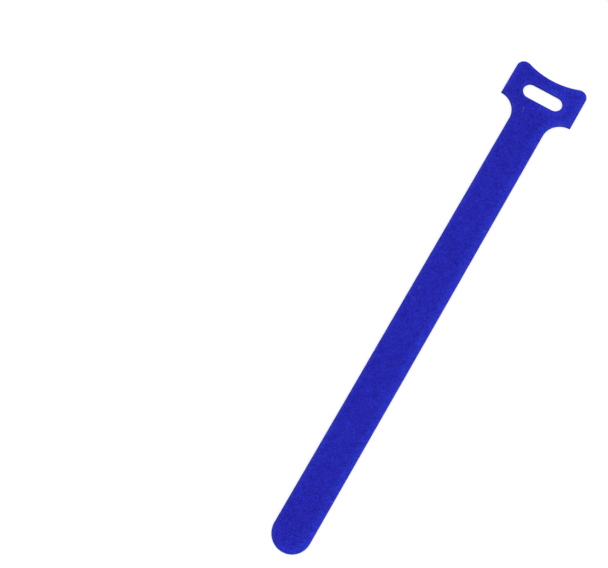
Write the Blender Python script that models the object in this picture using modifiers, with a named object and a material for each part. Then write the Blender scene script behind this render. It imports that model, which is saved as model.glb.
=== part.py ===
"""Hook and loop cable tie: one flat strap with a slotted head, die-cut in one piece.

The tie lies flat, loop pile up and rows of hooks down. Y runs from the rounded tip to the head and
Z is up. The origin is the middle of the underside of its bounding box. Sizes are in metres.
"""

import math

import bmesh
import bpy
from mathutils import Matrix

# Strap
OVERALL_LENGTH = 0.180
STRAP_WIDTH = 0.0127

# Thickness, from the floor up: rows of hooks, then backing cloth with the loop pile on it
HOOK_HEIGHT = 0.0005
BACKING_THICKNESS = 0.0006
PILE_HEIGHT = 0.0007
THICKNESS = HOOK_HEIGHT + BACKING_THICKNESS + PILE_HEIGHT
PILE_EDGE_ROUND = 0.00045

# Slot in the head, which the strap is threaded through
SLOT_SIDE_CLEARANCE = 0.00075
SLOT_THREADING_ROOM = 0.0032
SLOT_LENGTH = STRAP_WIDTH + 2 * SLOT_SIDE_CLEARANCE
SLOT_WIDTH = THICKNESS + SLOT_THREADING_ROOM

# Head, as walls round the slot; its top edge is hollow between two round ears
SLOT_TO_HEAD_SIDE = 0.0059
SLOT_TO_SHOULDER = 0.0028
SLOT_TO_HOLLOW = 0.0045
HOLLOW_DEPTH = 0.00185
EAR_RADIUS = 0.0027
HEAD_WIDTH = SLOT_LENGTH + 2 * SLOT_TO_HEAD_SIDE
HEAD_HEIGHT = SLOT_TO_SHOULDER + SLOT_WIDTH + SLOT_TO_HOLLOW + HOLLOW_DEPTH

# Rows of hooks, which run along the strap and stop short of every cut edge
HOOK_ROWS_ACROSS_STRAP = 10
HOOK_ROW_WIDTH = 0.0006
HOOK_EDGE_MARGIN = 0.0003
HOOK_ROOT_DEPTH = 0.0002
HOOK_ROW_PITCH = STRAP_WIDTH / HOOK_ROWS_ACROSS_STRAP

# Places along Y, from the origin at mid-length
HEAD_TOP_Y = OVERALL_LENGTH / 2
SHOULDER_Y = HEAD_TOP_Y - HEAD_HEIGHT
SLOT_Y = SHOULDER_Y + SLOT_TO_SHOULDER + SLOT_WIDTH / 2
TIP_CENTRE_Y = -OVERALL_LENGTH / 2 + STRAP_WIDTH / 2

# Fineness of the round shapes, and tolerances
QUARTER_TURN = math.pi / 2
ARC_TOLERANCE = 0.000005
PILE_EDGE_SEGMENTS = 3
CUT_OVERRUN = 0.001
WELD_DISTANCE = 0.000001
FLAT_ANGLE = math.radians(1)
SHARP_ANGLE = math.radians(40)

# Finish of the dyed cloth
CLOTH_COLOUR = (0.018, 0.018, 0.42, 1.0)
CLOTH_ROUGHNESS = 0.9
CLOTH_METALLIC = 0.0


def clear_scene():
    for old in list(bpy.data.objects):
        bpy.data.objects.remove(old)


def new_collection(name):
    collection = bpy.data.collections.new(name)
    bpy.context.scene.collection.children.link(collection)
    return collection


def arc(centre_x, centre_y, radius, start, end):
    """Points along an arc between two angles, as close together as the tolerance asks."""
    finest_step = 2 * math.acos(1 - ARC_TOLERANCE / radius)
    steps = max(2, math.ceil(abs(end - start) / finest_step))
    angles = [start + (end - start) * step / steps for step in range(steps + 1)]
    return [(centre_x + radius * math.cos(a), centre_y + radius * math.sin(a)) for a in angles]


def tip_and_strap_side(inset):
    """The round tip from the centreline to the strap's side, moved inwards by inset."""
    return arc(0, TIP_CENTRE_Y, STRAP_WIDTH / 2 - inset, -QUARTER_TURN, 0)


def shoulder(inset):
    """The scooped quarter circle from the strap's side to the sharp corner of the head."""
    scoop = (HEAD_WIDTH - STRAP_WIDTH) / 2
    corner = QUARTER_TURN + math.asin(inset / (scoop + inset))
    return arc(HEAD_WIDTH / 2, SHOULDER_Y - scoop, scoop + inset, 2 * QUARTER_TURN, corner)


def ear_and_hollow(inset):
    """A round ear of the head, and the shallow hollow that runs on from it to the centreline."""
    ear_x = HEAD_WIDTH / 2 - EAR_RADIUS
    ear_y = HEAD_TOP_Y - EAR_RADIUS
    rise = EAR_RADIUS - HOLLOW_DEPTH
    hollow_radius = (ear_x**2 + rise**2 - EAR_RADIUS**2) / (2 * HOLLOW_DEPTH)
    hollow_y = ear_y + rise + hollow_radius
    meeting = math.atan2(hollow_y - ear_y, -ear_x)
    outer_ear = arc(ear_x, ear_y, EAR_RADIUS - inset, 0, QUARTER_TURN)
    inner_ear = arc(ear_x, ear_y, EAR_RADIUS - inset, QUARTER_TURN, meeting)
    hollow = arc(0, hollow_y, hollow_radius + inset, meeting - math.pi, -QUARTER_TURN)
    return outer_ear + inner_ear[1:] + hollow[1:]


def slot_half(inset):
    """Half of the slot, from the centreline round its end and back, widened by inset."""
    radius = SLOT_WIDTH / 2 + inset
    end = arc(SLOT_LENGTH / 2 - SLOT_WIDTH / 2, SLOT_Y, radius, QUARTER_TURN, -QUARTER_TURN)
    return [(0, SLOT_Y + radius)] + end + [(0, SLOT_Y - radius)]


def half_outline(inset):
    """The right half of the die-cut shape with its half of the slot, as one closed line."""
    return tip_and_strap_side(inset) + shoulder(inset) + ear_and_hollow(inset) + slot_half(inset)


def plate_mesh(name, outline, thickness):
    """The outline filled and given its thickness about Z = 0, as a mesh."""
    curve = bpy.data.curves.new(name + "_outline", "CURVE")
    curve.dimensions = "2D"
    curve.fill_mode = "BOTH"
    curve.extrude = thickness / 2
    spline = curve.splines.new("POLY")
    spline.points.add(len(outline) - 1)
    spline.use_cyclic_u = True
    for point, (x, y) in zip(spline.points, outline):
        point.co = (x, y, 0, 1)
    guide = bpy.data.objects.new(name + "_outline", curve)
    bpy.context.scene.collection.objects.link(guide)
    graph = bpy.context.evaluated_depsgraph_get()
    mesh = bpy.data.meshes.new_from_object(guide.evaluated_get(graph))
    bpy.data.objects.remove(guide)
    mesh.name = name
    return mesh


def open_at_centreline(mesh):
    """Welds the caps to the walls, makes each cap one face and takes the centreline wall out."""
    shell = bmesh.new()
    shell.from_mesh(mesh)
    bmesh.ops.remove_doubles(shell, verts=shell.verts, dist=WELD_DISTANCE)
    flat_lines = [edge for edge in shell.edges if edge.calc_face_angle(math.pi) < FLAT_ANGLE]
    bmesh.ops.dissolve_limit(shell, angle_limit=FLAT_ANGLE, verts=[], edges=flat_lines)
    bmesh.ops.recalc_face_normals(shell, faces=shell.faces)
    middle = [
        face for face in shell.faces if all(abs(vertex.co.x) < WELD_DISTANCE for vertex in face.verts)
    ]
    bmesh.ops.delete(shell, geom=middle, context="FACES")
    shell.to_mesh(mesh)
    shell.free()


def plate(name, inset, bottom, top, collection):
    """A flat plate of the die-cut shape, moved inwards by inset, between two heights."""
    mesh = plate_mesh(name, half_outline(inset), top - bottom)
    open_at_centreline(mesh)
    piece = bpy.data.objects.new(name, mesh)
    piece.location.z = (bottom + top) / 2
    collection.objects.link(piece)
    other_half = piece.modifiers.new("other_half", "MIRROR")
    other_half.merge_threshold = WELD_DISTANCE
    return piece


def as_cutter(helper):
    """Keeps a helper out of the render and shows it as lines only."""
    helper.hide_render = True
    helper.display_type = "WIRE"


def combine(body, other, operation):
    """Joins or cuts a body with another solid."""
    boolean = body.modifiers.new(other.name, "BOOLEAN")
    boolean.operation = operation
    boolean.solver = "EXACT"
    boolean.object = other


def round_pile_edge(piece):
    """Rounds the upper rim all round, where the pile lies down towards the cut edge."""
    shell = bmesh.new()
    shell.from_mesh(piece.data)
    weight = shell.edges.layers.float.new("bevel_weight_edge")
    for edge in shell.edges:
        on_top = all(vertex.co.z > 0 for vertex in edge.verts)
        if on_top and edge.calc_face_angle(0) > FLAT_ANGLE:
            edge[weight] = 1.0
    shell.to_mesh(piece.data)
    shell.free()
    rim = piece.modifiers.new("pile_edge", "BEVEL")
    rim.limit_method = "WEIGHT"
    rim.width = PILE_EDGE_ROUND
    rim.segments = PILE_EDGE_SEGMENTS
    rim.use_clamp_overlap = False


def hook_row_bars(collection):
    """One long bar on each row of hooks that fits whole under the head, past both ends."""
    outermost = HEAD_WIDTH / 2 - HOOK_EDGE_MARGIN - HOOK_ROW_WIDTH / 2
    rows_a_side = math.floor(outermost / HOOK_ROW_PITCH + 0.5)
    length = OVERALL_LENGTH + 2 * CUT_OVERRUN
    height = HOOK_HEIGHT + HOOK_ROOT_DEPTH + 2 * CUT_OVERRUN
    middle_z = (HOOK_HEIGHT + HOOK_ROOT_DEPTH) / 2
    bars = bmesh.new()
    for row in range(-rows_a_side, rows_a_side):
        place = ((row + 0.5) * HOOK_ROW_PITCH, 0, middle_z)
        size = (HOOK_ROW_WIDTH, length, height)
        bmesh.ops.create_cube(bars, size=1, matrix=Matrix.LocRotScale(place, None, size))
    mesh = bpy.data.meshes.new("hook_row_bars")
    bars.to_mesh(mesh)
    bars.free()
    helper = bpy.data.objects.new("hook_row_bars", mesh)
    collection.objects.link(helper)
    as_cutter(helper)
    return helper


def hook_rows(collection):
    """The rows of hooks as low ribs, rooted in the backing and clear of every cut edge."""
    rows = plate("hook_rows", HOOK_EDGE_MARGIN, 0, HOOK_HEIGHT + HOOK_ROOT_DEPTH, collection)
    combine(rows, hook_row_bars(collection), "INTERSECT")
    as_cutter(rows)
    return rows


def dress(piece):
    """Gives the piece its blue cloth, and smooth shading on its round edges."""
    cloth = bpy.data.materials.new("blue_cloth")
    cloth.use_nodes = True
    shader = cloth.node_tree.nodes["Principled BSDF"]
    shader.inputs["Base Color"].default_value = CLOTH_COLOUR
    shader.inputs["Roughness"].default_value = CLOTH_ROUGHNESS
    shader.inputs["Metallic"].default_value = CLOTH_METALLIC
    piece.data.materials.append(cloth)
    piece.data.shade_smooth()
    piece.data.set_sharp_from_angle(angle=SHARP_ANGLE)


def main():
    clear_scene()
    parts = new_collection("hook_and_loop_cable_tie")
    cutters = new_collection("cutters")
    tie = plate("cable_tie", 0, HOOK_HEIGHT, THICKNESS, parts)
    round_pile_edge(tie)
    combine(tie, hook_rows(cutters), "UNION")
    dress(tie)


main()
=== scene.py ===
"""Looks of the blue hook and loop cable tie: matted loop pile on top, rows of hooks beneath.

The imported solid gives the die-cut shape and its place. Everything is in metres, +Z up, with the pile
facing up, the hooks on the floor and Y running from the round tip to the slotted head.
"""

import logging
import math
import random
from dataclasses import dataclass, field
from enum import Enum

import bmesh
import bpy
import numpy as np
from mathutils import Matrix, Vector, noise
from mathutils.bvhtree import BVHTree


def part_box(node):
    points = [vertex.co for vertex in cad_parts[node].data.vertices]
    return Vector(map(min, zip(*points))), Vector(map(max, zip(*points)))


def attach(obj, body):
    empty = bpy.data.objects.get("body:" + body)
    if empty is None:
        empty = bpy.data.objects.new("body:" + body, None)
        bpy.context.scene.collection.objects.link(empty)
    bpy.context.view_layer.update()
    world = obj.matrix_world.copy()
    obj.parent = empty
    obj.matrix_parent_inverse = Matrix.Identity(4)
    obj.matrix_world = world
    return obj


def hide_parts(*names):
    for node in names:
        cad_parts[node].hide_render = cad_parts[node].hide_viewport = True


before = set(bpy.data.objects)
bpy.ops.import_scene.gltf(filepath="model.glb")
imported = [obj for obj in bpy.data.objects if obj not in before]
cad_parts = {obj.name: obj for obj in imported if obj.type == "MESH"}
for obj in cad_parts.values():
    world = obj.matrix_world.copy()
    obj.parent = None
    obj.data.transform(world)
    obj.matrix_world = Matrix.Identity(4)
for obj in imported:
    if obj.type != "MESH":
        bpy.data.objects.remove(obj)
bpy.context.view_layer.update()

NODE = "cable_tie"
BODY = "root"
MM = 0.001

EDGE_DEPTH = "edge_depth"
# Random tone of each loop and hook, and on the cloth painted shade where the pile lies low
TONE_AND_PAINTED_SHADE = "tone_and_painted_shade"
BAKE_MAP = "OFBake"
KINDS_SEEN = ("Camera", "Glossy", "Transmission")

# Where the pile's broad unevenness starts, which sets it apart from the tufts
CLOUD_START = Vector((7, 3, 1))

Colour = tuple[float, float, float, float]
Range = tuple[float, float]
# The matted pile under the loops is a darker blue than the loops: painted shade where the loops shade it.
MAT_DEEP: Colour = (0.006, 0.006, 0.36, 1.0)
MAT_PLAIN: Colour = (0.047, 0.051, 0.87, 1.0)
HOOK_DEEP: Colour = (0.030, 0.034, 0.66, 1.0)
HOOK_PLAIN: Colour = (0.095, 0.110, 1.0, 1.0)
log = logging.getLogger("cable_tie")


def grey(level: float) -> Colour:
    """A colour without hue, from 0 for black to 1 for white."""
    return (level, level, level, 1.0)


class Wire:
    """An output of a shader node, with arithmetic that adds Math nodes."""

    def __init__(self, graph: "Graph", socket: bpy.types.NodeSocket) -> None:
        """Keeps the socket and the graph that it belongs to."""
        self.graph = graph
        self.socket = socket

    def _math(self, operation: str, first: "Value", second: "Value") -> "Wire":
        """Adds a Math node that works on two values."""
        return self.graph.node("ShaderNodeMath", {"operation": operation}, {0: first, 1: second})

    def __add__(self, other: "Value") -> "Wire":
        """Gives self + other."""
        return self._math("ADD", self, other)

    def __radd__(self, other: "Value") -> "Wire":
        """Gives other + self."""
        return self._math("ADD", other, self)

    def __sub__(self, other: "Value") -> "Wire":
        """Gives self - other."""
        return self._math("SUBTRACT", self, other)

    def __rsub__(self, other: "Value") -> "Wire":
        """Gives other - self."""
        return self._math("SUBTRACT", other, self)

    def __mul__(self, other: "Value") -> "Wire":
        """Gives self * other."""
        return self._math("MULTIPLY", self, other)

    def __rmul__(self, other: "Value") -> "Wire":
        """Gives other * self."""
        return self._math("MULTIPLY", other, self)

    def __truediv__(self, other: "Value") -> "Wire":
        """Gives self / other."""
        return self._math("DIVIDE", self, other)

    def __rtruediv__(self, other: "Value") -> "Wire":
        """Gives other / self."""
        return self._math("DIVIDE", other, self)

    def size(self) -> "Wire":
        """Gives the number without its sign."""
        return self._math("ABSOLUTE", self, 0.0)

    def sine(self) -> "Wire":
        """Gives its sine."""
        return self._math("SINE", self, 0.0)

    def or_larger(self, other: "Value") -> "Wire":
        """Gives the larger of self and other."""
        return self._math("MAXIMUM", self, other)

    def or_smaller(self, other: "Value") -> "Wire":
        """Gives the smaller of self and other."""
        return self._math("MINIMUM", self, other)


Value = Wire | float | int | tuple


class Graph:
    """A node tree that is built one expression at a time."""

    def __init__(self, tree: bpy.types.NodeTree) -> None:
        """Keeps the node tree."""
        self.tree = tree

    def feed(self, socket: bpy.types.NodeSocket, value: Value) -> None:
        """Links a wire to a socket, or sets the socket's own value.

        Args:
            socket: the socket.
            value: the wire, or the value.
        """
        if isinstance(value, Wire):
            self.tree.links.new(value.socket, socket)
        else:
            socket.default_value = value

    def node(self, kind: str, settings: dict, inputs: dict, output: int | str = 0) -> Wire:
        """Adds a node.

        Args:
            kind: the node's type.
            settings: the node's own options, set before its sockets.
            inputs: a value or a wire for each named or numbered socket.
            output: the socket that the result is read from.

        Returns:
            The chosen output.
        """
        made = self.tree.nodes.new(kind)
        for name, value in settings.items():
            setattr(made, name, value)
        for key, value in inputs.items():
            self.feed(made.inputs[key], value)
        return Wire(self, made.outputs[output])


class Recipe(Graph):
    """The node tree of one material, with the patterns that its finish is made of."""

    def __init__(self, name: str) -> None:
        """Starts a material that holds a Principled shader.

        Args:
            name: the material's name.
        """
        self.material = bpy.data.materials.new(name)
        self.material.use_nodes = True
        super().__init__(self.material.node_tree)
        self.shader = self.tree.nodes["Principled BSDF"]

    def surface(self, inputs: dict[str, Value]) -> bpy.types.Material:
        """Feeds the Principled shader.

        Args:
            inputs: a value or a wire for each named socket.

        Returns:
            The finished material.
        """
        for name, value in inputs.items():
            self.feed(self.shader.inputs[name], value)
        return self.material

    def place(self) -> Wire:
        """The point on the piece, in metres."""
        return self.node("ShaderNodeTexCoord", {}, {}, "Object")

    def along(self, axis: str) -> Wire:
        """How far along X, Y or Z the point on the piece is."""
        return self.node("ShaderNodeSeparateXYZ", {}, {"Vector": self.place()}, axis)

    def attribute(self, name: str) -> Wire:
        """The number that the mesh holds for each point under a name."""
        return self.node("ShaderNodeAttribute", {"attribute_name": name}, {}, "Fac")

    def upright_grain(self, size: float, stretch: float, detail: float = 2.0) -> Wire:
        """A random grain that is drawn out along Z.

        Args:
            size: how wide one streak is, in metres.
            stretch: how many times as tall as wide it is.
            detail: how many finer layers it has.

        Returns:
            The pattern, from 0 to 1.
        """
        drawn = {0: self.place(), 1: (1.0, 1.0, 1 / stretch)}
        place = self.node("ShaderNodeVectorMath", {"operation": "MULTIPLY"}, drawn)
        return self.node("ShaderNodeTexNoise", {}, {"Vector": place, "Scale": 1 / size, "Detail": detail})

    def noise(self, size: float, detail: float = 2.0, rough: float = 0.5) -> Wire:
        """A soft random pattern from 0 to 1.

        Args:
            size: how wide one patch is, in metres.
            detail: how many finer layers it has.
            rough: how strong the finer layers are.

        Returns:
            The pattern.
        """
        sockets = {"Vector": self.place(), "Scale": 1 / size, "Detail": detail, "Roughness": rough}
        return self.node("ShaderNodeTexNoise", {}, sockets)

    def step(self, value: Wire, low: float, high: float) -> Wire:
        """Rises smoothly from 0 at low to 1 at high, or falls where high is the smaller.

        Args:
            value: what is compared with them.
            low: the value that gives 0.
            high: the value that gives 1.

        Returns:
            The result, from 0 to 1.
        """
        start, end, flip = (low, high, False) if low < high else (high, low, True)
        settings = {"interpolation_type": "SMOOTHSTEP"}
        risen = self.node("ShaderNodeMapRange", settings, {"Value": value, 1: start, 2: end})
        return 1 - risen if flip else risen

    def mix(self, share: Value, first: Value, second: Value) -> Wire:
        """Mixes two colours: the first where share is 0, the second where it is 1."""
        settings = {"data_type": "RGBA"}
        return self.node("ShaderNodeMix", settings, {0: share, 6: first, 7: second}, 2)

    def bump(self, height: Wire, depth: float) -> Wire:
        """A normal for a fine relief.

        Args:
            height: the relief, from 0 to 1.
            depth: how high 1 stands, in metres.

        Returns:
            The normal.
        """
        return self.node("ShaderNodeBump", {}, {"Height": height, "Strength": 1.0, "Distance": depth})


@dataclass(frozen=True)
class Mottling:
    """How dyed nylon changes between hollow, at 0 or less, and tuft, at full or more: random tone, and on the
    cloth painted shade where the pile lies low.

    Attributes:
        tuft: width of the fine mottling.
        tuft_detail: how many finer layers that has.
        tuft_rough: how strong those are.
        cloud: width of the broad mottling.
        shade_share: how much the stored number of each loop or tuft counts: random tone for a loop, painted
            shade for the cloth.
        tuft_share: how much the fine mottling counts.
        cloud_share: how much the broad mottling counts.
        contrast: how strong the three are together.
        middle: the value that they change about.
        full: the value from which on the nylon has its plain colour.
    """

    tuft: float = 0.45 * MM
    tuft_detail: float = 3.0
    tuft_rough: float = 0.6
    cloud: float = 2.4 * MM
    shade_share: float = 0.5
    tuft_share: float = 0.8
    cloud_share: float = 0.4
    contrast: float = 0.9
    middle: float = 0.45
    full: float = 0.9

    def clouds(self, recipe: Recipe) -> Wire:
        """The broad mottling alone, as much as it counts."""
        return recipe.noise(self.cloud) * self.cloud_share

    def tone(self, recipe: Recipe, clouds: Wire) -> Wire:
        """The whole mottling.

        Args:
            recipe: the material's nodes.
            clouds: the broad mottling, as much as it counts.

        Returns:
            Its value.
        """
        # On the cloth this is painted shade, darker where the pile lies low; on a loop or hook it is random
        # tone.
        shade = recipe.attribute(TONE_AND_PAINTED_SHADE) * self.shade_share
        tufts = recipe.noise(self.tuft, self.tuft_detail, self.tuft_rough) * self.tuft_share
        average = (self.shade_share + self.tuft_share + self.cloud_share) / 2
        return (shade + tufts + clouds - average) * self.contrast + self.middle


@dataclass(frozen=True)
class EdgeHighlight:
    """A painted highlight beside a cut edge, where the pile catches the light, broader and stronger on the +X
    side, towards the key lamp.

    Attributes:
        colour: its colour.
        narrow: how far in it reaches on the -X side.
        broad: how far in it reaches on the +X side.
        weak: how bright it is on the -X side, from 0 to 1.
        strong: how bright it is on the +X side.
        solid: share of its reach that is bright all through.
        full: the mottling's value from which on it shows in full.
    """

    colour: Colour = (0.050, 0.078, 1.0, 1.0)
    narrow: float = 1.8 * MM
    broad: float = 3.4 * MM
    weak: float = 0.45
    strong: float = 0.60
    solid: float = 0.25
    full: float = 0.7

    def share(self, recipe: Recipe, depth: Wire, lit_side: Wire, tone: Wire) -> Wire:
        """How far the painted highlight shows.

        Args:
            recipe: the material's nodes.
            depth: distance from the cut edge.
            lit_side: the change from the -X side, 0, to the +X side, 1, towards the key lamp.
            tone: the mottling.

        Returns:
            The share, from 0 to 1.
        """
        # Painted highlight: it reaches further and is stronger towards the key lamp on the +X side.
        reach = lit_side * (self.broad - self.narrow) + self.narrow
        strength = lit_side * (self.strong - self.weak) + self.weak
        return recipe.step(depth / reach, 1.0, self.solid) * strength * recipe.step(tone, 0.0, self.full)


@dataclass(frozen=True)
class CutShadeStreaks:
    """Painted shade on the cut wall and its rim, broader on the -X side, away from the key lamp, and streaked
    down the wall where fibre ends were cut off.

    Attributes:
        colour: its colour.
        narrow: how far in it reaches on the +X side, towards the key lamp.
        broad: how far in it reaches on the -X side, away from the key lamp.
        solid: share of its reach that is dark all through.
        between: how much of it shows between fibre ends, from 0 to 1.
        end: width of a fibre end.
        end_stretch: how many times as tall as wide an end is.
        end_grain: the grain's values at which an end is darkest, and at which it stops.
    """

    colour: Colour = (0.012, 0.014, 0.34, 1.0)
    narrow: float = 0.16 * MM
    broad: float = 0.32 * MM
    solid: float = 0.35
    between: float = 0.4
    end: float = 0.09 * MM
    end_stretch: float = 5.0
    end_grain: Range = (0.35, 0.75)

    def share(self, recipe: Recipe, depth: Wire, lit_side: Wire) -> Wire:
        """How far the painted shade of the cut shows.

        Args:
            recipe: the material's nodes.
            depth: distance from the cut edge.
            lit_side: the change from the -X side, 0, to the +X side, 1, towards the key lamp.

        Returns:
            The share, from 0 to 1.
        """
        # Painted shade: broader on the -X side, away from the key lamp, and broken up by the fibre ends.
        darkest, stop = self.end_grain
        ends = recipe.step(recipe.upright_grain(self.end, self.end_stretch), stop, darkest)
        reach = lit_side * (self.narrow - self.broad) + self.broad
        streaks = ends * (1 - self.between) + self.between
        return recipe.step(depth / reach, 1.0, self.solid) * streaks


@dataclass(frozen=True)
class Tangle:
    """Thin tangled threads that are drawn on the matted pile, in two layers.

    A thread runs along the line where a random pattern passes through its middle value.

    Attributes:
        loop: width of one loop of the tangle.
        thickness: how much of the tangle the threads take up, from 0 to 1.
        spread: how far from that middle value the thickest thread would reach.
        wander: how strongly the threads are bent.
        detail: how many finer layers the random pattern has.
        starts: where the random pattern of each layer starts.
        share: how much the threads count in the mottling.
        depth: how far they stand out.
    """

    loop: float = 0.34 * MM
    thickness: float = 0.3
    spread: float = 0.25
    wander: float = 1.4
    detail: float = 1.5
    starts: tuple[float, float] = (0.0, 0.37)
    share: float = 0.7
    depth: float = 0.05 * MM

    def layer(self, recipe: Recipe, start: float) -> Wire:
        """One layer of threads: 1 along the middle of a thread and 0 between threads.

        Args:
            recipe: the material's nodes.
            start: where its random pattern starts.

        Returns:
            The pattern.
        """
        shift = {0: recipe.place(), 1: (start,) * 3}
        spot = recipe.node("ShaderNodeVectorMath", {"operation": "ADD"}, shift)
        sockets = {"Vector": spot, "Scale": 1 / self.loop, "Detail": self.detail, "Distortion": self.wander}
        off_line = (recipe.node("ShaderNodeTexNoise", {}, sockets) - 0.5).size()
        return recipe.step(off_line, self.thickness * self.spread, 0.0)

    def pattern(self, recipe: Recipe) -> Wire:
        """Both layers of threads together."""
        first, second = (self.layer(recipe, start) for start in self.starts)
        return first.or_larger(second)


@dataclass(frozen=True)
class NylonFinish:
    """Dyed nylon: mottled blue, with a painted highlight beside a cut edge and painted shade on the cut
    itself.

    Both change from the -X side to the +X side, towards the key lamp, so the two sides of the tie differ.

    Attributes:
        name: the material's name.
        deep: colour of the hollows between tufts.
        plain: colour of the tufts.
        mottling: how it changes between the two.
        edge_highlight: the painted highlight beside a cut edge.
        cut: the painted shade of the cut, or None where nothing is cut.
        lit_side_change: how far from the middle the change from the -X side to the +X side, towards the key
            lamp, reaches.
        roughness: how matt it is.
        shine: strength of the plain reflection.
        sheen: how much the fibres glow at a glancing angle.
        sheen_spread: how widely that glow spreads.
        sheen_tint: its colour.
        tangle: the tangled threads that are drawn on it, or None.
    """

    name: str
    deep: Colour = (0.009, 0.009, 0.59, 1.0)
    plain: Colour = (0.052, 0.058, 0.935, 1.0)
    mottling: Mottling = Mottling()
    edge_highlight: EdgeHighlight = EdgeHighlight()
    cut: CutShadeStreaks | None = CutShadeStreaks()
    lit_side_change: float = 3.0 * MM
    roughness: float = 0.9
    shine: float = 0.15
    sheen: float = 0.12
    sheen_spread: float = 0.5
    sheen_tint: Colour = (0.35, 0.4, 1.0, 1.0)
    tangle: Tangle | None = None

    def material(self) -> bpy.types.Material:
        """Builds the material.

        Returns:
            The material, with its colour driven by place, edge depth, random tone and painted shade.
        """
        recipe = Recipe(self.name)
        depth = recipe.attribute(EDGE_DEPTH)
        # Painted light: 0 on the -X side and 1 on the +X side, towards the key lamp.
        lit_side = recipe.step(recipe.along("X"), -self.lit_side_change, self.lit_side_change)
        clouds = self.mottling.clouds(recipe)
        tone = self.mottling.tone(recipe, clouds)
        if self.tangle:
            threads = self.tangle.pattern(recipe)
            tone = tone + (threads - 0.5) * self.tangle.share
            recipe.surface({"Normal": recipe.bump(threads, self.tangle.depth)})
        colour = recipe.mix(recipe.step(tone, 0.0, self.mottling.full), self.deep, self.plain)
        # Painted highlight beside the cut edge.
        highlight_share = self.edge_highlight.share(recipe, depth, lit_side, tone + clouds)
        colour = recipe.mix(highlight_share, colour, self.edge_highlight.colour)
        # Painted shade on the cut.
        if self.cut:
            colour = recipe.mix(self.cut.share(recipe, depth, lit_side), colour, self.cut.colour)
        return recipe.surface({
            "Base Color": colour,
            "Roughness": self.roughness,
            "Specular IOR Level": self.shine,
            "Sheen Weight": self.sheen,
            "Sheen Roughness": self.sheen_spread,
            "Sheen Tint": self.sheen_tint,
        })


@dataclass(frozen=True)
class WovenBack:
    """The ground cloth between the rows of hooks: a fine plain weave.

    Attributes:
        name: the material's name.
        gap_shade: painted shade in the gaps between threads, where the weave lies low.
        warp: colour of the threads that run along the strap.
        weft: colour of the threads that cross it.
        pitch: distance between threads.
        relief: how far a thread stands out.
        crossing: how softly one thread passes over the other.
        arching: how far a thread sinks from its crown to its crossings, from 0 to 1.
        fibre: width of the fibres in a thread.
        fibre_share: how much those count in the colour.
        gap_height: the height up to which the weave has the painted shade between threads.
        thread_height: the height from which on it has the colour of a thread.
        roughness: how matt it is.
        shine: strength of the plain reflection.
    """

    name: str
    gap_shade: Colour = (0.010, 0.010, 0.30, 1.0)
    warp: Colour = (0.030, 0.034, 0.76, 1.0)
    weft: Colour = (0.022, 0.025, 0.62, 1.0)
    pitch: float = 0.28 * MM
    relief: float = 0.05 * MM
    crossing: float = 0.05
    arching: float = 0.45
    fibre: float = 0.12 * MM
    fibre_share: float = 0.6
    gap_height: float = 0.3
    thread_height: float = 0.9
    roughness: float = 0.8
    shine: float = 0.2

    def material(self) -> bpy.types.Material:
        """Builds the material.

        Returns:
            The material, with warp over weft in every other cell.
        """
        recipe = Recipe(self.name)
        across = (recipe.along("X") * (math.pi / self.pitch)).sine()
        along = (recipe.along("Y") * (math.pi / self.pitch)).sine()
        warp_on_top = recipe.step(across * along, -self.crossing, self.crossing)
        across, along = across.size(), along.size()
        warp_crown = across * (along * self.arching + (1 - self.arching))
        weft_crown = along * (across * self.arching + (1 - self.arching))
        height = warp_on_top * (warp_crown - weft_crown) + weft_crown
        yarn = recipe.mix(warp_on_top, self.weft, self.warp)
        fibres = recipe.noise(self.fibre) * self.fibre_share
        # Painted shade: the weave is darker where it lies low, between threads and where they dip.
        thread_share = recipe.step(height + fibres, self.gap_height, self.thread_height)
        return recipe.surface({
            "Base Color": recipe.mix(thread_share, self.gap_shade, yarn),
            "Roughness": self.roughness,
            "Specular IOR Level": self.shine,
            "Normal": recipe.bump(height, self.relief),
        })


@dataclass(frozen=True)
class LintFinish:
    """Pale dust fibres that cling to the pile.

    Attributes:
        name: the material's name.
        shaded: colour of the duller stretches.
        pale: colour of the paler stretches.
        stretch: length of such a stretch.
        change: the random pattern's values between which dull turns to pale.
        roughness: how matt it is.
        shine: strength of the plain reflection.
    """

    name: str
    shaded: Colour = (0.18, 0.22, 0.76, 1.0)
    pale: Colour = (0.38, 0.44, 0.95, 1.0)
    stretch: float = 0.3 * MM
    change: Range = (0.3, 0.7)
    roughness: float = 0.7
    shine: float = 0.3

    def material(self) -> bpy.types.Material:
        """Builds the material.

        Returns:
            The material, dull and pale by turns.
        """
        recipe = Recipe(self.name)
        paleness = recipe.step(recipe.noise(self.stretch), *self.change)
        return recipe.surface({
            "Base Color": recipe.mix(paleness, self.shaded, self.pale),
            "Roughness": self.roughness,
            "Specular IOR Level": self.shine,
        })


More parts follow.
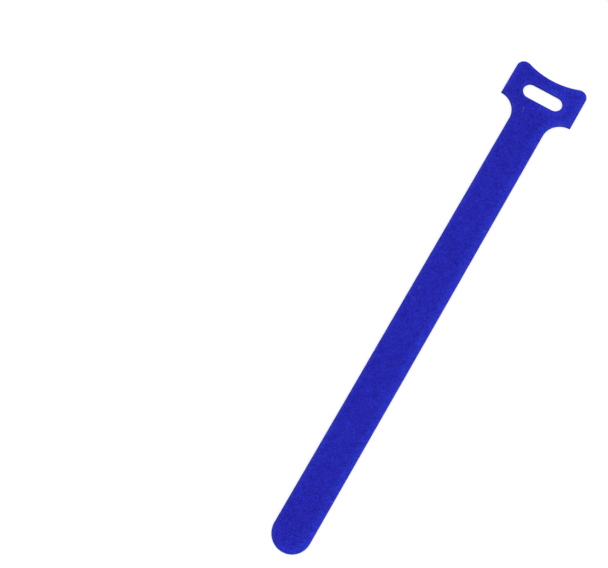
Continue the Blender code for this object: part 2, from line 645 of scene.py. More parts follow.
@dataclass
class CutShape:
    """The die-cut shape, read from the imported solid: what is inside it and where its cut edge is.

    Attributes:
        solid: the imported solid.
        back_height: height of the back of the cloth, above the rows of hooks.
        flat_wall: how upright a face of the cut edge is, as the largest Z of its normal.
        probe_rise: how far above the back the nearest point of the cut edge is looked for.
        clearance: how far above the pile side a look straight down starts.
        tolerance: how near to the head's side a corner counts as on it.
        low: lowest corner of the solid's box.
        high: highest corner of it.
        edge: faces of the cut edge.
        top: faces of the pile side.
        sharp_corners: the two sharp corners of the head's shoulders.
    """

    solid: bpy.types.Object
    back_height: float = 0.5 * MM
    flat_wall: float = 0.1
    probe_rise: float = 0.3 * MM
    clearance: float = 1.0 * MM
    tolerance: float = 0.001 * MM
    low: Vector = field(init=False)
    high: Vector = field(init=False)
    edge: BVHTree = field(init=False)
    top: BVHTree = field(init=False)
    sharp_corners: list[Vector] = field(init=False)

    def __post_init__(self) -> None:
        """Sorts the solid's faces into the cut edge and the pile side."""
        self.low, self.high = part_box(self.solid.name)
        mesh = self.solid.data
        corners = [vertex.co.copy() for vertex in mesh.vertices]
        walls, tops = [], []
        for face in mesh.polygons:
            if abs(face.normal.z) < self.flat_wall and face.center.z > self.back_height:
                walls.append(face.vertices[:])
            elif face.normal.z > self.flat_wall:
                tops.append(face.vertices[:])
        self.edge = BVHTree.FromPolygons(corners, walls)
        self.top = BVHTree.FromPolygons(corners, tops)
        side = self.high.x - self.tolerance
        head_side = [corners[index] for wall in walls for index in wall if corners[index].x > side]
        lowest = min(corner.y for corner in head_side)
        self.sharp_corners = [Vector((x, lowest, 0.0)) for x in (self.low.x, self.high.x)]

    def holds(self, x: float, y: float) -> bool:
        """Whether a place is on the cloth."""
        above = Vector((x, y, self.high.z + self.clearance))
        return self.top.ray_cast(above, Vector((0, 0, -1)))[0] is not None

    def nearest(self, x: float, y: float) -> tuple[Vector, Vector, float]:
        """The nearest point of the cut edge.

        Args:
            x: the place along X.
            y: the place along Y.

        Returns:
            The point, the way the edge faces there, and how far off it is.
        """
        spot = Vector((x, y, self.back_height + self.probe_rise))
        found, facing, _, distance = self.edge.find_nearest(spot)
        return found, facing, distance

    def depth(self, x: float, y: float) -> float:
        """How far inside the cut edge a place lies, and less than 0 outside it."""
        distance = self.nearest(x, y)[2]
        return distance if self.holds(x, y) else -distance


@dataclass
class FlatMap:
    """A bake map on which both faces of the cloth lie flat in columns, cut at mid-length.

    Attributes:
        shape: the die-cut shape.
        columns: how many columns share the map's width.
        margin: room round the shape in each column.
    """

    shape: CutShape
    columns: int
    margin: float = 1.6 * MM

    def lay(self, mesh: bpy.types.Mesh, spots: np.ndarray, columns: np.ndarray) -> None:
        """Adds the map to a mesh.

        Args:
            mesh: the mesh.
            spots: the flat place, x and y, of each face corner.
            columns: the column of each face corner, not counting the half.
        """
        starts = np.zeros(len(mesh.polygons), np.int32)
        mesh.polygons.foreach_get("loop_start", starts)
        totals = np.zeros(len(mesh.polygons), np.int32)
        mesh.polygons.foreach_get("loop_total", totals)
        middle = np.add.reduceat(spots[:, 1], starts) / totals
        upper = np.repeat(middle > 0, totals)
        width = self.shape.high.x - self.shape.low.x + 2 * self.margin
        half = self.shape.high.y + 2 * self.margin
        across = (columns * 2 + upper + 0.5 + spots[:, 0] / width) / self.columns
        along = (np.where(upper, spots[:, 1], spots[:, 1] + self.shape.high.y) + self.margin) / half
        layer = mesh.uv_layers.new(name=BAKE_MAP)
        layer.uv.foreach_set("vector", np.stack([across, along], 1).astype(np.float32).ravel())


def corner_vertices(mesh: bpy.types.Mesh) -> np.ndarray:
    """The vertex of each face corner.

    Args:
        mesh: the mesh.

    Returns:
        The number of the vertex, for one corner after the other.
    """
    found = np.zeros(len(mesh.loops), np.int32)
    mesh.loops.foreach_get("vertex_index", found)
    return found


def places_of(mesh: bpy.types.Mesh) -> np.ndarray:
    """The place of each vertex.

    Args:
        mesh: the mesh.

    Returns:
        One row with X, Y and Z for each vertex.
    """
    found = np.zeros(len(mesh.vertices) * 3, np.float32)
    mesh.vertices.foreach_get("co", found)
    return found.reshape(-1, 3).astype(float)


def hold_numbers(mesh: bpy.types.Mesh, name: str, values: np.ndarray) -> None:
    """Stores a number for each vertex of a mesh under a name."""
    layer = mesh.attributes.new(name, "FLOAT", "POINT")
    layer.data.foreach_set("value", values.astype(np.float32))


def piece_from(name: str, mesh: bpy.types.Mesh, *materials: bpy.types.Material) -> bpy.types.Object:
    """Makes a piece of the tie, which moves with its one body.

    Args:
        name: the piece's name.
        mesh: its mesh, in place.
        materials: its finishes, in the order that its faces number them.

    Returns:
        The piece.
    """
    for material in materials:
        mesh.materials.append(material)
    piece = bpy.data.objects.new(name, mesh)
    bpy.context.scene.collection.objects.link(piece)
    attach(piece, BODY)
    triangles = sum(len(face.vertices) - 2 for face in mesh.polygons)
    log.info("%s: %d triangles", name, triangles)
    return piece


@dataclass
class PileCloth:
    """The cloth itself: matted pile on top, a cut wall all round and a ribbed back.

    Attributes:
        shape: the die-cut shape.
        finish: the dyed nylon.
        back_finish: the woven back.
        cell: size of the mesh's cells.
        grid_inset: how far inside the cut edge the even grid stops, in cells.
        rim_weld: how near to each other two points of the rim are merged, in cells.
        on_edge: how near the cut edge a point counts as on it, in cells.
        easings: how often the cells beside the rim are evened out.
        pile_height: height of the matted pile, under the loops that stand on it.
        edge_roll: radius at which the pile rolls down to the cut edge.
        tuft_relief: how far tufts rise and fall.
        tuft_size: width of a tuft.
        tuft_layers: how fast its finer layers fade, how much finer each one is, and their number.
        tuft_shade: how much a tuft's height counts in its painted shade, which is darker where the pile lies
            lower.
        cloud_relief: how far broad unevenness rises and falls.
        cloud_size: width of the broad unevenness.
        wall_rows: rows of cells down the cut wall.
        wall_relief: how far the cut wall is uneven.
        wall_grain: width of that unevenness.
        row_pitch: distance between rows of hooks.
        rib_height: height of the rib that a row of hooks is rooted in.
        rib_width: width of that rib.
        back_relief: how far the back is uneven.
        back_grain: width of that unevenness, twice as long along the strap.
        back_shade: how much it counts in the painted shade, which is darker where the back lies lower.
        back_start: where its random pattern starts, which sets it apart from the pile's.
        back_slope: the Z of a face's normal under which it belongs to the back.
    """

    shape: CutShape
    finish: NylonFinish
    back_finish: WovenBack
    cell: float = 0.28 * MM
    grid_inset: float = 0.6
    rim_weld: float = 0.3
    on_edge: float = 0.02
    easings: int = 4
    pile_height: float = 1.52 * MM
    edge_roll: float = 0.45 * MM
    tuft_relief: float = 0.09 * MM
    tuft_size: float = 0.75 * MM
    tuft_layers: tuple[float, float, int] = (0.9, 2.1, 3)
    tuft_shade: float = 0.6
    cloud_relief: float = 0.05 * MM
    cloud_size: float = 3.2 * MM
    wall_rows: int = 4
    wall_relief: float = 0.03 * MM
    wall_grain: float = 0.3 * MM
    row_pitch: float = 1.27 * MM
    rib_height: float = 0.07 * MM
    rib_width: float = 0.42 * MM
    back_relief: float = 0.012 * MM
    back_grain: float = 0.5 * MM
    back_shade: float = 0.3
    back_start: float = 2.0 * MM
    back_slope: float = -0.5

    def blank(self) -> bmesh.types.BMesh:
        """A fine grid, cut back to the cells that lie clear inside the cut edge.

        Returns:
            The grid, flat at Z = 0.
        """
        low, high = self.shape.low, self.shape.high
        width, length = high.x - low.x, high.y - low.y
        grid = bmesh.new()
        across, along = math.ceil(width / self.cell), math.ceil(length / self.cell)
        spread = Matrix.LocRotScale(((low + high) / 2).to_2d().to_3d(), None, (width, length, 1))
        bmesh.ops.create_grid(grid, x_segments=across, y_segments=along, size=0.5, matrix=spread)
        inset = self.cell * self.grid_inset
        outside = [point for point in grid.verts if self.shape.depth(point.co.x, point.co.y) < inset]
        while outside:
            bmesh.ops.delete(grid, geom=outside, context="VERTS")
            # What is left without a cell goes too, and where two stretches of the rim would touch
            outside = [
                point
                for point in grid.verts
                if not point.link_faces or sum(edge.is_boundary for edge in point.link_edges) > 2
            ]
        return grid

    def reach_edge(self, grid: bmesh.types.BMesh) -> None:
        """Grows one ring of cells from the grid out to the cut edge.

        Args:
            grid: the flat grid.
        """
        rim_edges = [edge for edge in grid.edges if edge.is_boundary]
        inner = list({point for edge in rim_edges for point in edge.verts})
        grown = bmesh.ops.extrude_edge_only(grid, edges=rim_edges)["geom"]
        rim = [item for item in grown if isinstance(item, bmesh.types.BMVert)]
        for point in rim:
            found, _, _ = self.shape.nearest(point.co.x, point.co.y)
            point.co = (found.x, found.y, 0.0)
        for corner in self.shape.sharp_corners:
            closest = min(rim, key=lambda point: (point.co - corner).length)
            closest.co = corner
        bmesh.ops.remove_doubles(grid, verts=rim, dist=self.cell * self.rim_weld)
        near = {other for point in inner for edge in point.link_edges for other in edge.verts}
        soft = [point for point in near if not any(edge.is_boundary for edge in point.link_edges)]
        for _ in range(self.easings):
            bmesh.ops.smooth_vert(grid, verts=soft, factor=0.5, use_axis_x=True, use_axis_y=True)

    def slab(self) -> bpy.types.Mesh:
        """The cloth's mesh, still as a slab of unit thickness.

        Returns:
            The mesh, with Z from 0 at the back to 1 on the pile side.
        """
        grid = self.blank()
        self.reach_edge(grid)
        grown = bmesh.ops.extrude_face_region(grid, geom=grid.faces[:])["geom"]
        top = [item for item in grown if isinstance(item, bmesh.types.BMVert)]
        bmesh.ops.translate(grid, verts=top, vec=(0, 0, 1))
        upright = [edge for edge in grid.edges if edge.verts[0].co.z != edge.verts[1].co.z]
        bmesh.ops.subdivide_edges(grid, edges=upright, cuts=self.wall_rows - 1, use_grid_fill=True)
        bmesh.ops.recalc_face_normals(grid, faces=grid.faces)
        mesh = bpy.data.meshes.new("tie_cloth")
        grid.to_mesh(mesh)
        grid.free()
        return mesh

    def pile_level(self, x: float, y: float, depth: float) -> tuple[float, float]:
        """The top of the matted pile at a place.

        Args:
            x: the place along X.
            y: the place along Y.
            depth: its distance from the cut edge.

        Returns:
            The height, and the painted shade from 0 in a hollow to 1 on a tuft.
        """
        roll = max(0.0, self.edge_roll - depth)
        drop = self.edge_roll - math.sqrt(self.edge_roll**2 - roll**2)
        spot = Vector((x, y, 0.0))
        tuft = noise.fractal(spot / self.tuft_size, *self.tuft_layers)
        cloud = noise.noise(spot / self.cloud_size + CLOUD_START)
        settled = min(1.0, depth / self.edge_roll)
        relief = (tuft * self.tuft_relief + cloud * self.cloud_relief) * settled
        # Painted shade: the same tuft that raises the pile makes it lighter.
        shade = 0.5 + self.tuft_shade * tuft
        return self.pile_height - drop + relief, min(1.0, max(0.0, shade))

    def back_level(self, x: float, y: float, depth: float) -> tuple[float, float]:
        """The back of the cloth at a place.

        Args:
            x: the place along X.
            y: the place along Y.
            depth: its distance from the cut edge.

        Returns:
            The height, and the painted shade from 0 where the back lies low to 1 where it lies high.
        """
        off_row = (x / self.row_pitch) % 1 - 0.5
        rib = math.exp(-((off_row * self.row_pitch / (self.rib_width / 2)) ** 2))
        rib *= min(1.0, depth / self.rib_width)
        grain = noise.noise(Vector((x, y / 2, self.back_start)) / self.back_grain)
        level = self.shape.back_height - self.rib_height * rib + self.back_relief * grain
        # Painted shade: the same grain that raises the back makes it lighter.
        return level, 0.5 + self.back_shade * grain

    def wall_dent(self, x: float, y: float, share: float) -> float:
        """How far the cut wall lies inside the die's line, share of the way up at a place on it."""
        grain = noise.noise(Vector((x, y, share * MM)) / self.wall_grain)
        return self.wall_relief * (0.5 + 0.5 * grain)

    def build(self) -> bpy.types.Object:
        """Builds the cloth.

        Returns:
            The finished piece.
        """
        mesh = self.slab()
        places = places_of(mesh)
        flat = places[:, :2].copy()
        depths, shades = np.zeros(len(places)), np.zeros(len(places))
        for index, (x, y, share) in enumerate(places):
            edge, facing, distance = self.shape.nearest(x, y)
            inside = share in (0.0, 1.0) and distance > self.cell * self.on_edge
            depth = distance if inside else 0.0
            top, top_shade = self.pile_level(x, y, depth)
            back, back_shade = self.back_level(x, y, depth)
            depths[index] = depth
            shades[index] = top_shade if share > 0 else back_shade
            places[index, 2] = back + (top - back) * share
            if not inside:
                dent = self.wall_dent(x, y, share)
                places[index, :2] = (edge.x - facing.x * dent, edge.y - facing.y * dent)
                skirt = (top - back) * (1 - share)
                flat[index] = (edge.x + facing.x * skirt, edge.y + facing.y * skirt)
        mesh.vertices.foreach_set("co", places.astype(np.float32).ravel())
        mesh.update()
        hold_numbers(mesh, EDGE_DEPTH, depths)
        hold_numbers(mesh, TONE_AND_PAINTED_SHADE, shades)
        self.lay_map(mesh, places, flat)
        mesh.shade_smooth()
        return piece_from("tie_cloth", mesh, self.finish.material(), self.back_finish.material())

    def lay_map(self, mesh: bpy.types.Mesh, places: np.ndarray, flat: np.ndarray) -> None:
        """Adds the bake map, with the cut wall folded out round the pile side, and numbers the finishes.

        Args:
            mesh: the cloth's mesh.
            places: the place of each vertex.
            flat: where each vertex of the pile side and the wall lies on the map, before its columns.
        """
        vertex = corner_vertices(mesh)
        normals = np.zeros(len(mesh.polygons) * 3, np.float32)
        mesh.polygons.foreach_get("normal", normals)
        totals = np.zeros(len(mesh.polygons), np.int32)
        mesh.polygons.foreach_get("loop_total", totals)
        facing_down = normals.reshape(-1, 3)[:, 2] < self.back_slope
        mesh.polygons.foreach_set("material_index", facing_down.astype(np.int32))
        on_back = np.repeat(facing_down, totals)
        spots = np.where(on_back[:, None], places[vertex, :2], flat[vertex])
        FlatMap(self.shape, columns=4).lay(mesh, spots, on_back.astype(int))


class Growth:
    """A round filament under construction, which grows from its last end face."""

    def __init__(self, radius: float, sides: int) -> None:
        """Starts at the origin, facing up.

        Args:
            radius: the filament's radius.
            sides: how many sides it has.
        """
        self.form = bmesh.new()
        bmesh.ops.create_circle(self.form, cap_ends=True, radius=radius, segments=sides)
        self.end = self.form.faces[:]

    def _parts(self) -> list:
        """What the next bend is grown from.

        Returns:
            The end face with its edges and vertices.
        """
        edges = [edge for face in self.end for edge in face.edges]
        points = [point for face in self.end for point in face.verts]
        return self.end + edges + points

    def straight(self, along: Vector, taper: float) -> None:
        """Grows straight on.

        Args:
            along: how far and which way.
            taper: how much of its thickness it keeps.
        """
        grown = bmesh.ops.extrude_face_region(self.form, geom=self.end)["geom"]
        self.end = [item for item in grown if isinstance(item, bmesh.types.BMFace)]
        points = [point for face in self.end for point in face.verts]
        bmesh.ops.translate(self.form, verts=points, vec=along)
        middle = self.end[0].calc_center_median()
        bmesh.ops.scale(self.form, verts=points, vec=(taper,) * 3, space=Matrix.Translation(-middle))

    def bend(self, centre: Vector, axis: Vector, sweep: float, steps: int) -> None:
        """Grows round a bend.

        Args:
            centre: middle of the bend.
            axis: what it turns about.
            sweep: how far it turns, in radians.
            steps: how many pieces the bend has.
        """
        spun = bmesh.ops.spin(
            self.form,
            geom=self._parts(),
            cent=centre,
            axis=axis,
            dvec=(0, 0, 0),
            angle=sweep,
            steps=steps,
            use_merge=False,
            use_normal_flip=False,
            use_duplicate=False,
        )
        self.end = [item for item in spun["geom_last"] if isinstance(item, bmesh.types.BMFace)]

    def mesh(self, name: str) -> bpy.types.Mesh:
        """Finishes the filament.

        Args:
            name: the mesh's name.

        Returns:
            The mesh, closed, with no face inside and its faces pointing out.
        """
        inner = [face for face in self.form.faces if all(len(edge.link_faces) > 2 for edge in face.edges)]
        bmesh.ops.delete(self.form, geom=inner, context="FACES_ONLY")
        bmesh.ops.recalc_face_normals(self.form, faces=self.form.faces)
        made = bpy.data.meshes.new(name)
        self.form.to_mesh(made)
        self.form.free()
        return made


class Stamp:
    """Sets copies of small meshes one by one into a single mesh."""

    def __init__(self, name: str, templates: list[bpy.types.Mesh]) -> None:
        """Starts an empty mesh.

        Args:
            name: the finished mesh's name.
            templates: the small meshes to choose from.
        """
        self.name = name
        self.templates = templates
        self.rests = [places_of(template).astype(np.float32).ravel() for template in templates]
        self.form = bmesh.new()
        self.counts: list[int] = []
        self.depths: list[float] = []
        self.shades: list[float] = []

    def set_down(self, which: int, place: Matrix, depth: float, shade: float) -> None:
        """Adds one copy.

        Args:
            which: the template's number.
            place: where it goes.
            depth: its distance from the cut edge.
            shade: how light it is, from 0 to 1.
        """
        template = self.templates[which]
        template.vertices.foreach_set("co", self.rests[which])
        template.transform(place)
        self.form.from_mesh(template)
        self.counts.append(len(template.vertices))
        self.depths.append(depth)
        self.shades.append(shade)

    def finish(self, shape: CutShape) -> bpy.types.Mesh:
        """The mesh of all copies, with what its finish reads and its bake map.

        Args:
            shape: the die-cut shape.

        Returns:
            The mesh.
        """
        mesh = bpy.data.meshes.new(self.name)
        self.form.to_mesh(mesh)
        self.form.free()
        hold_numbers(mesh, EDGE_DEPTH, np.repeat(self.depths, self.counts))
        hold_numbers(mesh, TONE_AND_PAINTED_SHADE, np.repeat(self.shades, self.counts))
        spots = places_of(mesh)[corner_vertices(mesh), :2]
        FlatMap(shape, columns=2).lay(mesh, spots, np.zeros(len(spots)))
        mesh.shade_smooth()
        for template in self.templates:
            bpy.data.meshes.remove(template)
        return mesh


@dataclass(frozen=True)
class LoopForm:
    """What the loops of one lay have in common, as the lowest and highest value of each.

    Attributes:
        steps: how many pieces a loop has.
        sweep: how far it turns, in degrees.
        lean: how far it leans over, in degrees.
        rise: how far above the matted pile it starts.
    """

    steps: int
    sweep: Range
    lean: Range
    rise: Range


class Lay(Enum):
    """How a filament of the pile lies: arched over the mat, or curled flat on it."""

    ARCH = LoopForm(steps=5, sweep=(165, 195), lean=(-35, 35), rise=(-0.06 * MM, -0.06 * MM))
    CURL = LoopForm(steps=6, sweep=(190, 280), lean=(72, 86), rise=(0.02 * MM, 0.07 * MM))


@dataclass
class LoopPile:
    """The fine loops that stand on the matted pile.

    Attributes:
        shape: the die-cut shape.
        cloth: the cloth that they stand on.
        finish: the dyed nylon.
        name: the piece's name.
        seed: start of its random numbers.
        density: loops for each square metre.
        filament: radius of the filament.
        sides: how many sides the filament has.
        variety: how many unlike loops it is made of.
        curl_every: how many of those go to one curl.
        radii: radius of a loop.
        sizes: how many times as large as its template a loop is.
        skews: how far an arch slants sideways, as a share of its radius.
        heights: how high an arch stands, as a share of its radius.
        least_depth: how near the cut edge a loop stands.
        edge_zone: how far in the loops lie along the cut edge.
        edge_stray: how much of its own heading a loop keeps there.
        flat_zone: how far in no loop arches.
        flat_lean: how far a loop leans over there, in degrees.
        flat_stray: how much of its own lean it keeps there.
        squeeze_zone: how far in and out the loops are squeezed inwards.
        rim_inset: how far inside the cut edge the outermost ones end up.
        field_loft: how far a loop may stand off the mat where the rim is no longer rolled.
        rim_give: how much of its height above that a loop keeps.
    """

    shape: CutShape
    cloth: PileCloth
    finish: NylonFinish
    name: str
    seed: int
    density: float = 2.12e6
    filament: float = 0.034 * MM
    sides: int = 3
    variety: int = 20
    curl_every: int = 3
    radii: Range = (0.28 * MM, 0.50 * MM)
    sizes: Range = (0.8, 1.25)
    skews: Range = (-0.9, 0.9)
    heights: Range = (0.30, 0.55)
    least_depth: float = 0.07 * MM
    edge_zone: float = 0.85 * MM
    edge_stray: float = 0.12
    flat_zone: float = 0.45 * MM
    flat_lean: float = 79.0
    flat_stray: float = 0.2
    squeeze_zone: float = 0.6 * MM
    rim_inset: float = 0.05 * MM
    field_loft: float = 0.35 * MM
    rim_give: float = 0.08

    def template(self, dice: random.Random, lay: Lay) -> bpy.types.Mesh:
        """Makes one loop.

        Args:
            dice: the random numbers.
            lay: how it lies.

        Returns:
            The loop's mesh, standing over the origin with its chord along X.
        """
        radius = dice.uniform(*self.radii)
        sweep = math.radians(dice.uniform(*lay.value.sweep))
        growth = Growth(self.filament, self.sides)
        growth.bend(Vector((radius, 0, 0)), Vector((0, 1, 0)), sweep, lay.value.steps)
        mesh = growth.mesh("loop_template")
        mesh.transform(Matrix.Translation((-radius, 0, 0)))
        if lay is Lay.ARCH:
            skew = Matrix.Identity(4)
            skew[1][2] = dice.uniform(*self.skews)
            skew[2][2] = dice.uniform(*self.heights)
            mesh.transform(skew)
        return mesh

    def stand(self, x: float, y: float, dice: random.Random, lays: list[Lay], stamp: Stamp) -> None:
        """Sets down one loop, unless its place is off the cloth or too near the cut edge.

        Its numbers are drawn in either case.

        Args:
            x: its place along X.
            y: its place along Y.
            dice: the random numbers.
            lays: how each template lies.
            stamp: what sets it down.
        """
        which = dice.randrange(self.variety)
        turn = dice.uniform(0, 2 * math.pi)
        lean = dice.uniform(*lays[which].value.lean)
        size = dice.uniform(*self.sizes)
        lift = dice.uniform(0, 1)
        shade = dice.random()
        if not self.shape.holds(x, y):
            return
        _, facing, depth = self.shape.nearest(x, y)
        if depth < self.least_depth:
            return
        if depth < self.flat_zone and lays[which] is Lay.ARCH:
            which -= which % self.curl_every
            lean = self.flat_lean + lean * self.flat_stray
        if depth < self.edge_zone:
            turn = math.atan2(-facing.x, facing.y) + (turn - math.pi) * self.edge_stray
            lean = abs(lean)
        level, _ = self.cloth.pile_level(x, y, depth)
        lowest, highest = lays[which].value.rise
        place = Matrix.Translation((x, y, level + lowest + (highest - lowest) * lift))
        place @= Matrix.Rotation(turn, 4, "Z") @ Matrix.Rotation(math.radians(lean), 4, "X")
        place @= Matrix.Scale(size, 4)
        stamp.set_down(which, place, depth, shade)

    def build(self) -> bpy.types.Object:
        """Builds the loops.

        Returns:
            The finished piece.
        """
        dice = random.Random(self.seed)
        lays = [Lay.ARCH if number % self.curl_every else Lay.CURL for number in range(self.variety)]
        stamp = Stamp(self.name, [self.template(dice, lay) for lay in lays])
        pace = 1 / math.sqrt(self.density)
        low, high = self.shape.low, self.shape.high
        for row in range(math.ceil((high.y - low.y) / pace)):
            for column in range(math.ceil((high.x - low.x) / pace)):
                x = low.x + (column + dice.random()) * pace
                y = low.y + (row + dice.random()) * pace
                self.stand(x, y, dice, lays, stamp)
        mesh = stamp.finish(self.shape)
        self.comb_rim(mesh, np.repeat(stamp.depths, stamp.counts))
        return piece_from(self.name, mesh, self.finish.material())

    def comb_rim(self, mesh: bpy.types.Mesh, depths: np.ndarray) -> None:
        """Presses the loops beside the cut edge back inside it and down onto the rolled rim.

        Each cross-section of a filament moves as a whole, so it keeps its thickness.

        Args:
            mesh: the mesh of all loops.
            depths: how far in the loop of each vertex stands.
        """
        sections = places_of(mesh).reshape(-1, self.sides, 3)
        middles = sections.mean(axis=1)
        for index in np.nonzero(depths[:: self.sides] < self.edge_zone)[0]:
            x, y, height = middles[index]
            edge, facing, distance = self.shape.nearest(x, y)
            depth = distance if self.shape.holds(x, y) else -distance
            if depth < self.squeeze_zone:
                kept = max(0.0, 0.5 + 0.5 * depth / self.squeeze_zone)
                depth = self.rim_inset + kept * (self.squeeze_zone - self.rim_inset)
                inside = edge - facing * depth
                sections[index, :, :2] += (inside.x - x, inside.y - y)
            settled = min(1.0, depth / self.cloth.edge_roll)
            level, _ = self.cloth.pile_level(x, y, depth)
            above = height - level - self.field_loft * settled**2
            if above > 0:
                sections[index, :, 2] -= above * (1 - self.rim_give)
        mesh.vertices.foreach_set("co", sections.astype(np.float32).ravel())
        mesh.update()


@dataclass
class Lint:
    """The few dust fibres that cling to the pile, as on the real one.

    Attributes:
        shape: the die-cut shape.
        cloth: the cloth that they lie on.
        finish: their own finish.
        radius: radius of a fibre.
        sides: how many sides it has.
        steps: how many pieces it has.
        lean: how far over it lies, in degrees.
        height: how far above the matted pile it starts.
        spots: of each fibre, its X and Y, its heading, and the radius and the sweep of its bend, in
            millimetres and degrees.
    """

    shape: CutShape
    cloth: PileCloth
    finish: LintFinish
    radius: float = 0.026 * MM
    sides: int = 5
    steps: int = 8
    lean: float = 84.0
    height: float = 0.26 * MM
    spots: tuple[tuple[float, float, float, float, float], ...] = (
        (-3.62, 72.68, 162, 1.7, 80),
        (-4.2, -0.9, 20, 0.6, 120),
        (-3.9, 2.3, 140, 0.5, 150),
        (4.7, 29.8, 60, 0.7, 90),
        (5.3, -69.1, 10, 0.5, 130),
        (-5.4, 18.2, 100, 0.6, 80),
    )

    def build(self) -> bpy.types.Object:
        """Builds the dust fibres.

        Returns:
            The finished piece.
        """
        form = bmesh.new()
        for x, y, heading, radius, sweep in self.spots:
            growth = Growth(self.radius, self.sides)
            growth.bend(Vector((radius * MM, 0, 0)), Vector((0, 1, 0)), math.radians(sweep), self.steps)
            fibre = growth.mesh("lint_template")
            fibre.transform(Matrix.Rotation(math.radians(self.lean), 4, "X"))
            depth = self.shape.depth(x * MM, y * MM)
            level, _ = self.cloth.pile_level(x * MM, y * MM, depth)
            place = Matrix.Translation((x * MM, y * MM, level + self.height))
            fibre.transform(place @ Matrix.Rotation(math.radians(heading), 4, "Z"))
            form.from_mesh(fibre)
            bpy.data.meshes.remove(fibre)
        mesh = bpy.data.meshes.new("lint_fibres")
        form.to_mesh(mesh)
        form.free()
        mesh.shade_smooth()
        return piece_from("lint_fibres", mesh, self.finish.material())


class Facing(Enum):
    """Which way a row of hooks curls along the strap."""

    TO_HEAD = 1
    TO_TIP = -1


@dataclass
class HookRows:
    """The rows of small hooks under the tie.

    Attributes:
        shape: the die-cut shape.
        cloth: the cloth that they are rooted in.
        finish: the dyed nylon.
        pace: distance between hooks along a row.
        sides: how many sides a hook has.
        root: radius of its foot.
        foot: height over which the foot narrows to the stem.
        stem: radius of the stem.
        taper: how much of its thickness the stem keeps at its end.
        rise: length of the straight stem.
        curl: radius of the curl.
        sweep: how far the curl turns, in degrees.
        steps: how many pieces the curl has.
        rooting: how deep a hook stands in its rib.
        margin: how near the cut edge a hook stands.
        stray: how far off its place along the row it may stand.
        sway: how far it may lean sideways, in radians.
        sizes: how high it is, as a share of the space between its rib and the floor.
        seed: start of its random numbers.
    """

    shape: CutShape
    cloth: PileCloth
    finish: NylonFinish
    pace: float = 0.85 * MM
    sides: int = 5
    root: float = 0.14 * MM
    foot: float = 0.07 * MM
    stem: float = 0.085 * MM
    taper: float = 0.95
    rise: float = 0.20 * MM
    curl: float = 0.155 * MM
    sweep: float = 190.0
    steps: int = 5
    rooting: float = 0.01 * MM
    margin: float = 0.42 * MM
    stray: float = 0.06 * MM
    sway: float = 0.12
    sizes: Range = (0.97, 1.0)
    seed: int = 41

    def template(self, facing: Facing) -> bpy.types.Mesh:
        """Makes one hook.

        Args:
            facing: which way it curls over.

        Returns:
            The hook's mesh, rooted at the origin and hanging down from it.
        """
        growth = Growth(self.root, self.sides)
        growth.straight(Vector((0, 0, self.foot)), self.stem / self.root)
        growth.straight(Vector((0, 0, self.rise)), self.taper)
        centre = Vector((0, self.curl, self.rise + self.foot))
        growth.bend(centre, Vector((-1, 0, 0)), math.radians(self.sweep), self.steps)
        mesh = growth.mesh("hook_template")
        if facing is Facing.TO_TIP:
            mesh.transform(Matrix.Rotation(math.pi, 4, "Z"))
        mesh.transform(Matrix.Rotation(math.pi, 4, "Y"))
        return mesh

    def build(self) -> bpy.types.Object:
        """Builds the rows of hooks.

        Returns:
            The finished piece.
        """
        dice = random.Random(self.seed)
        stamp = Stamp("hook_rows", [self.template(Facing.TO_HEAD), self.template(Facing.TO_TIP)])
        low, high = self.shape.low, self.shape.high
        reach = self.foot + self.rise + self.curl + self.stem
        rows = math.floor(high.x / self.cloth.row_pitch)
        for row in range(-rows, rows):
            x = (row + 0.5) * self.cloth.row_pitch
            which = row % 2
            for step in range(math.ceil((high.y - low.y) / self.pace)):
                y = low.y + (step + which / 2) * self.pace + dice.uniform(-self.stray, self.stray)
                lean = Matrix.Rotation(dice.uniform(-self.sway, self.sway), 4, "Y")
                size = dice.uniform(*self.sizes)
                shade = dice.random()
                depth = self.shape.depth(x, y)
                if depth < self.margin:
                    continue
                root, _ = self.cloth.back_level(x, y, depth)
                height = root + self.rooting
                place = Matrix.Translation((x, y, height)) @ lean
                place @= Matrix.Diagonal((1, 1, size * height / reach, 1))
                stamp.set_down(which, place, depth, shade)
        return piece_from("hook_rows", stamp.finish(self.shape), self.finish.material())


@dataclass
class PhotoCamera:
    """The camera, where the photograph was taken from.

    Attributes:
        aim: the point in the middle of the frame.
        distance: how far it stands from that point.
        turn: how far the frame is turned about the vertical, in degrees.
        tilt: how far it looks away from straight down, in degrees.
        lens: focal length in millimetres.
        frame_width: width of the frame in millimetres.
        near: how near to the camera things begin to show.
    """

    aim: Vector = field(default_factory=lambda: Vector((-36.32, -14.97, 1.8)) * MM)
    distance: float = 324.9 * MM
    turn: float = 30.55
    tilt: float = 12.91
    lens: float = 60.0
    frame_width: float = 36.0
    near: float = 10 * MM

    def build(self) -> None:
        """Places the camera and makes it the scene's."""
        data = bpy.data.cameras.new("photo_camera")
        data.lens = self.lens
        data.sensor_width = self.frame_width
        data.clip_start = self.near
        camera = bpy.data.objects.new("photo_camera", data)
        bpy.context.scene.collection.objects.link(camera)
        camera.rotation_euler = (math.radians(self.tilt), 0, math.radians(self.turn))
        back = camera.rotation_euler.to_matrix() @ Vector((0, 0, 1))
        camera.location = self.aim + back * self.distance
        bpy.context.scene.camera = camera


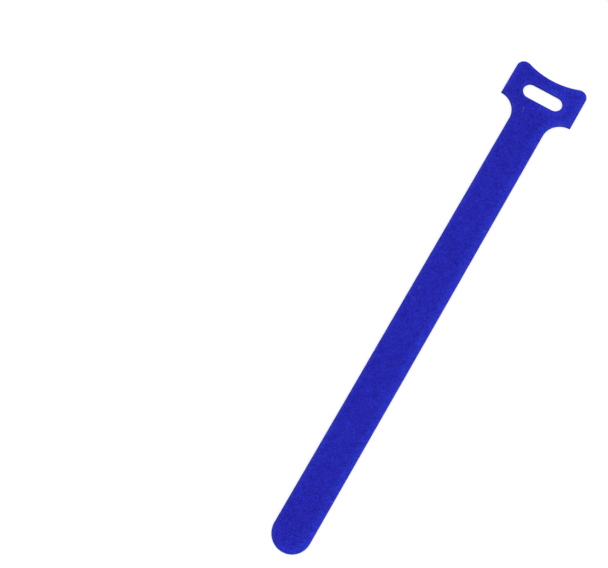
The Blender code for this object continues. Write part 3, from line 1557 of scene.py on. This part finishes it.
@dataclass
class Studio:
    """A plain pale floor under soft light, in front of white.

    Attributes:
        floor_size: half the floor's width.
        floor_gap: how far the floor lies under the hooks.
        glow: how much of the floor's white doesn't depend on the light.
        catch: how much of the light the floor shows on top of that, with the tie's shadow.
        pale: how pale the floor is for light that the camera doesn't see.
        sky: strength of the even light from all round.
        lamp_distance: how far off each lamp stands.
        lamp_size: width of a lamp.
        key_side: the direction in which the stronger lamp stands.
        key_power: its power in watts.
        fill_side: the direction in which the weaker lamp stands.
        fill_power: its power in watts.
    """

    floor_size: float = 2.5
    floor_gap: float = 0.02 * MM
    glow: float = 0.76
    catch: float = 0.34
    pale: float = 0.8
    sky: float = 0.62
    lamp_distance: float = 0.9
    lamp_size: float = 0.5
    key_side: tuple[float, float, float] = (0.9, -0.35, 1.1)
    key_power: float = 2.2
    fill_side: tuple[float, float, float] = (-0.8, 0.5, 1.3)
    fill_power: float = 1.3

    def seen(self, graph: Graph) -> Wire:
        """Is 1 for what the camera sees, also by reflection or through glass, and 0 for other light."""
        rays = [graph.node("ShaderNodeLightPath", {}, {}, f"Is {kind} Ray") for kind in KINDS_SEEN]
        return (rays[0] + rays[1] + rays[2]).or_smaller(1.0)

    def floor(self) -> None:
        """Adds the floor: white to the camera, with the tie's shadow, and pale to everything else."""
        form = bmesh.new()
        sunk = Matrix.Translation((0, 0, -self.floor_gap))
        bmesh.ops.create_grid(form, x_segments=1, y_segments=1, size=self.floor_size, matrix=sunk)
        mesh = bpy.data.meshes.new("floor")
        form.to_mesh(mesh)
        form.free()
        recipe = Recipe("pale_floor")
        share = self.seen(recipe)
        material = recipe.surface({
            "Base Color": recipe.mix(share, grey(self.pale), grey(self.catch)),
            "Roughness": 1.0,
            "Specular IOR Level": 0.0,
            "Emission Color": grey(1.0),
            "Emission Strength": share * self.glow,
        })
        mesh.materials.append(material)
        floor = bpy.data.objects.new("floor", mesh)
        bpy.context.scene.collection.objects.link(floor)

    def backdrop(self) -> None:
        """Surrounds the scene with even light that the camera sees as white."""
        world = bpy.data.worlds.new("soft_studio")
        world.use_nodes = True
        graph = Graph(world.node_tree)
        background = graph.tree.nodes["Background"]
        graph.feed(background.inputs["Color"], grey(1.0))
        graph.feed(background.inputs["Strength"], self.seen(graph) * (1 - self.sky) + self.sky)
        bpy.context.scene.world = world

    def lamp(self, name: str, towards: Vector, power: float) -> None:
        """Adds a soft square lamp that shines on the middle of the tie.

        Args:
            name: the lamp's name.
            towards: the direction in which it stands.
            power: its power in watts.
        """
        data = bpy.data.lights.new(name, "AREA")
        data.size = self.lamp_size
        data.energy = power
        lamp = bpy.data.objects.new(name, data)
        lamp.location = towards.normalized() * self.lamp_distance
        lamp.rotation_euler = towards.to_track_quat("Z", "Y").to_euler()
        bpy.context.scene.collection.objects.link(lamp)

    def build(self) -> None:
        """Adds the floor, the even light and the lamps, and sets plain colours."""
        self.floor()
        self.backdrop()
        self.lamp("key_lamp", Vector(self.key_side), self.key_power)
        self.lamp("fill_lamp", Vector(self.fill_side), self.fill_power)
        bpy.context.scene.view_settings.view_transform = "Standard"


def main() -> None:
    """Builds the tie, the camera and the studio, and notes their sizes."""
    logging.basicConfig(level=logging.INFO, format="%(name)s: %(message)s")
    PhotoCamera().build()
    Studio().build()
    shape = CutShape(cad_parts[NODE])
    mat = NylonFinish("matted_pile", deep=MAT_DEEP, plain=MAT_PLAIN, tangle=Tangle())
    cloth = PileCloth(shape, mat, WovenBack("woven_back"))
    body = cloth.build()
    strands = NylonFinish("loop_filaments", roughness=0.7)
    seeds = {"a": 3, "b": 17, "c": 29, "d": 43}
    loops = [
        LoopPile(shape, cloth, strands, f"loop_pile_{letter}", seed).build() for letter, seed in seeds.items()
    ]
    moulded = NylonFinish("hook_nylon", deep=HOOK_DEEP, plain=HOOK_PLAIN, cut=None, roughness=0.4, shine=0.5)
    hooks = HookRows(shape, cloth, moulded).build()
    lint = Lint(shape, cloth, LintFinish("pale_lint")).build()
    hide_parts(NODE)


if __name__ == "__main__":
    main()
